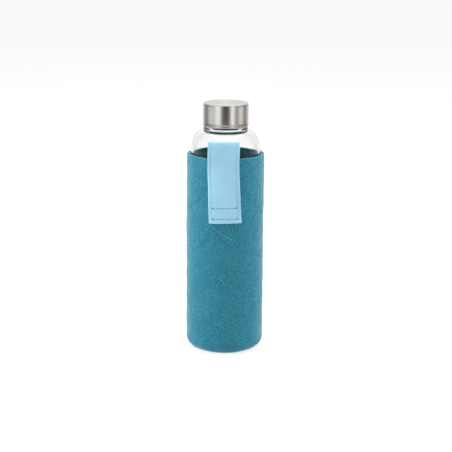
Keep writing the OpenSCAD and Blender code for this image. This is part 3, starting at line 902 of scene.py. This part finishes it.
def build_liner():
    """Moulded liner: thread, retaining bead for the seal, and a stepped foot inside the hem."""
    foot_r, low_z = CAP_R + HEM_FLARE - HEM_T - 0.15, CAP_Z + 0.8
    step_z, top_z, out_r = CAP_Z + 3.2, CAP_TOP - 0.62, CAP_R - STEEL_T
    bead_r, bead_half_h = 0.8, 0.4
    bead_z = SEAL_Z - SEAL_GAP - bead_half_h
    thread_top = bead_z - 0.45
    outline = np.vstack([
        [[0, top_z]], arc(out_r - 1, top_z - 1, 1, 1, 90, 0, 5),
        [[out_r, step_z], [foot_r, step_z]],
        arc(foot_r - 0.2, low_z + 0.2, 0.2, 0.2, 0, -90, 2),
        [[LINER_BORE_R + 0.3, low_z]],
        [[LINER_BORE_R, z] for z in np.arange(low_z + 0.35, thread_top, 0.22)],
        arc(LINER_BORE_R, bead_z, bead_r, bead_half_h, 270, 90, 8),
        [[LINER_BORE_R, ROOF_Z - 0.4], [LINER_BORE_R - 0.4, ROOF_Z], [0, ROOF_Z]],
    ])

    def ridges(theta, r, z):
        on_bore = (np.abs(r - LINER_BORE_R) < 0.01) & (z < thread_top)
        return r - thread_height(theta, z, INNER_RIDGE_Z) * on_bore, z

    return lathe("cap_liner", densify(outline, 2.0), 192, ridges)


def build_seal():
    """Silicone ring with a sealing bead on each face."""
    low_z, top_z = SEAL_Z, ROOF_Z - SEAL_GAP
    in_r, out_r, mid_r, dip, edge = 13.9, 18.3, (NECK_R + BORE_R) / 2, 0.15, 0.3
    bead = ((-1.0, dip), (-0.4, 0.04), (0, 0), (0.4, 0.04), (1.0, dip))
    outline = np.vstack([
        arc(in_r + edge, low_z + dip + edge, edge, edge, 180, 270, 4),
        [[mid_r + r, low_z + z] for r, z in bead],
        arc(out_r - edge, low_z + dip + edge, edge, edge, -90, 0, 4),
        arc(out_r - edge, top_z - dip - edge, edge, edge, 0, 90, 4),
        [[mid_r - r, top_z - z] for r, z in bead],
        arc(in_r + edge, top_z - dip - edge, edge, edge, 90, 180, 4),
    ])
    return lathe("cap_seal_ring", outline, 128)


glass = place(build_glass(), "bottle", GLASS, "glass", "glass_bottle")
cap = place(build_cap_shell(), "cap", STEEL_SIDE, "brushed_steel", "cap_shell")
cap.data.materials.append(STEEL_TOP)
for face in cap.data.polygons:  # the flat top
    if face.normal.z > 0.9 and face.center.z > (CAP_TOP - 0.4) * MM:
        face.material_index = 1
place(build_liner(), "cap", LINER, "liner_plastic", "cap_insert")
place(build_seal(), "seal", SILICONE, "silicone", "cap_seal")


# ---------------------------------------------------------------- stage, light and camera
def build_floor():
    """A wide pale floor that glows a little, so that it stays near white."""
    count, radius = 96, 9000
    turns = [2 * math.pi * k / count for k in range(count)]
    ring = [(radius * math.cos(a) * MM, radius * math.sin(a) * MM, 0) for a in turns]
    mesh = bpy.data.meshes.new("floor")
    mesh.from_pydata(ring, [], [tuple(range(count))])
    floor = bpy.data.objects.new("floor", mesh)
    bpy.context.scene.collection.objects.link(floor)
    mesh.materials.append(Shader("pale_floor", Base_Color=(*grey(0.25), 1), Roughness=0.9,
                                 Specular_IOR_Level=0.1, Emission_Color=(1, 1, 1, 1),
                                 Emission_Strength=0.76).material)


WORLD_FRONT, WORLD_BACK = 0.05, 0.94  # brightness of the surroundings

# The light tent's wall: direction in degrees from -Y towards +X, brightness and tint.
WARM, COOL, PLAIN = (1.04, 0.99, 0.975), (0.99, 1.0, 0.965), (1, 1, 1)
TENT = ((-180, 0.85, PLAIN), (-144, 0.92, PLAIN), (-128, 0.42, PLAIN), (-112, 0.24, COOL),
        (-100, 0.40, COOL), (-88, 0.92, COOL), (-60, 0.79, COOL), (-48, 1.14, PLAIN),
        (-36, 1.46, PLAIN), (-26, 0.96, PLAIN), (-19, 0.10, WARM), (-6, 0.03, WARM),
        (8, 0.03, WARM), (19, 0.08, PLAIN), (26, 1.26, PLAIN), (35, 1.68, PLAIN),
        (45, 0.62, PLAIN), (57, 0.22, WARM), (69, 0.84, WARM), (83, 1.14, WARM),
        (98, 0.46, WARM), (112, 0.26, PLAIN), (128, 0.60, PLAIN), (150, 0.98, PLAIN),
        (180, 0.85, PLAIN))


def build_tent():
    """Light tent that only reflections see. It has upright strips of light and shade, which
    other shades replace at some heights and near the foot."""
    count, radius, height = 96, 450, 1000
    theta = np.linspace(0, 2 * math.pi, count, endpoint=False)
    rings = [round_points(r, z, theta) for r, z in ((90, 0.5), (radius, 0.5), (radius, height))]
    mesh = bpy.data.meshes.new("light_tent")
    mesh.from_pydata((np.vstack(rings) * MM).tolist(), [], grid_faces(3, count, False, True))
    tent = bpy.data.objects.new("light_tent", mesh)
    bpy.context.scene.collection.objects.link(tent)
    s = Shader("tent_cloth", Roughness=1.0)
    split = s.add("SeparateXYZ", {"Vector": s.place_coords()}).outputs
    x, front, z = split["X"], s.maths("MULTIPLY", split["Y"], -1), split["Z"]
    turn = s.add("MapRange", {"Value": s.maths("ARCTAN2", x, front), "From Min": -math.pi,
                              "From Max": math.pi}).outputs["Result"]
    aside = s.maths("ABSOLUTE", s.maths("SUBTRACT", turn, 0.5))
    bright = max(value for _, value, _ in TENT)
    strips = s.ramp(turn, *[(degrees / 360 + 0.5, tuple(value / bright * c for c in tint))
                            for degrees, value, tint in TENT])
    behind = s.ramp(aside, (0.31, grey(0.05)), (0.38, grey(0.35)), (0.46, grey(0.62)))
    below = s.ramp(aside, (0.14, grey(0.34)), (0.18, grey(0.04)), (0.33, grey(0.04)),
                   (0.40, grey(0.5)))

    def step(value, low, high):
        return s.add("MapRange", {"Value": value, "From Min": low, "From Max": high},
                     interpolation_type="SMOOTHSTEP").outputs["Result"]

    middle = s.mix(step(aside, 0.14, 0.17), strips, behind)
    shade = foot = grey(0.34)
    for low, high, above in ((0.08, 0.1, below), (0.124, 0.138, strips), (0.172, 0.186, middle),
                             (0.25, 0.34, strips), (0.50, 0.70, grey(0.60))):
        shade = s.mix(step(z, low, high), shade, above)
    reach = s.maths("SQRT", s.maths("ADD", s.maths("MULTIPLY", x, x),
                                    s.maths("MULTIPLY", front, front)))
    shade = s.mix(step(reach, 0.25, 0.4), foot, shade)
    glow = s.add("Emission", {"Color": shade, "Strength": bright}).outputs[0]
    s.links.new(glow, s.nodes["Material Output"].inputs["Surface"])
    mesh.materials.append(s.material)
    tent.visible_camera = tent.visible_diffuse = tent.visible_transmission = False
    tent.visible_shadow = tent.visible_volume_scatter = False


def build_world():
    """Studio surroundings: they light the object less from the front, and look white to the eye,
    directly and through clear glass."""
    world = bpy.data.worlds.new("studio")
    bpy.context.scene.world = world
    world.use_nodes = True
    tree = world.node_tree
    way = add_node(tree, "TexCoord").outputs["Generated"]
    split = add_node(tree, "SeparateXYZ", {"Vector": way}).outputs
    depth = add_node(tree, "MapRange", {"Value": split["Y"], "From Min": -0.7, "From Max": 0.4,
                                        "To Min": WORLD_FRONT, "To Max": WORLD_BACK},
                     interpolation_type="SMOOTHSTEP").outputs["Result"]
    path = add_node(tree, "LightPath").outputs
    bounced = add_node(tree, "Math", {0: path["Glossy Depth"], 1: path["Diffuse Depth"]},
                       operation="MAXIMUM").outputs[0]
    pick = add_node(tree, "Mix", {"Factor": bounced, "A": 1.0, "B": depth}).outputs["Result"]
    back = tree.nodes["Background"]
    back.inputs["Color"].default_value = (1, 1, 1, 1)
    tree.links.new(pick, back.inputs["Strength"])


def area_light(name, place_mm, size_mm, watts, through_glass=False, aim_mm=(0, 0, 110)):
    data = bpy.data.lights.new(name, "AREA")
    data.shape = "RECTANGLE"
    data.size, data.size_y = size_mm[0] * MM, size_mm[1] * MM
    data.energy = watts
    lamp = bpy.data.objects.new(name, data)
    bpy.context.scene.collection.objects.link(lamp)
    lamp.location = Vector(place_mm) * MM
    aim = (Vector(aim_mm) - Vector(place_mm)) * MM
    lamp.rotation_mode = "QUATERNION"
    lamp.rotation_quaternion = aim.to_track_quat("-Z", "Y")
    lamp.visible_camera = lamp.visible_glossy = False
    lamp.visible_transmission = through_glass
    return lamp


def build_camera():
    """The camera's place, downward tilt and slight roll and turn."""
    away, above = 1347.5, 428.6
    tilt, roll, turn = math.radians(13.113), math.radians(0.4448), math.radians(0.0401)
    forward = Vector((math.sin(turn) * math.cos(tilt), math.cos(turn) * math.cos(tilt),
                      -math.sin(tilt)))
    right = Vector((math.cos(turn), -math.sin(turn), 0))
    up = right.cross(forward)
    right, up = (math.cos(roll) * right + math.sin(roll) * up,
                 math.cos(roll) * up - math.sin(roll) * right)
    data = bpy.data.cameras.new("camera")
    data.sensor_width = 36
    data.lens = 118.4
    data.clip_start, data.clip_end = 0.05, 40
    camera = bpy.data.objects.new("camera", data)
    bpy.context.scene.collection.objects.link(camera)
    axes = Matrix((right, up, -forward)).transposed().to_4x4()
    camera.matrix_world = Matrix.Translation(Vector((0, -away, above)) * MM) @ axes
    bpy.context.scene.camera = camera


build_floor()
build_tent()
build_world()
area_light("left_softbox", (-1150, -420, 620), (700, 900), 17)
area_light("right_softbox", (1150, -250, 560), (700, 900), 11)
area_light("top_softbox", (0, 60, 1500), (1600, 1600), 24, True)
glass_fill = area_light("glass_fill", (0, -500, 1100), (1200, 1200), 30, True)
glass_fill.visible_diffuse = False
build_camera()
bpy.context.scene.view_settings.view_transform = "Standard"
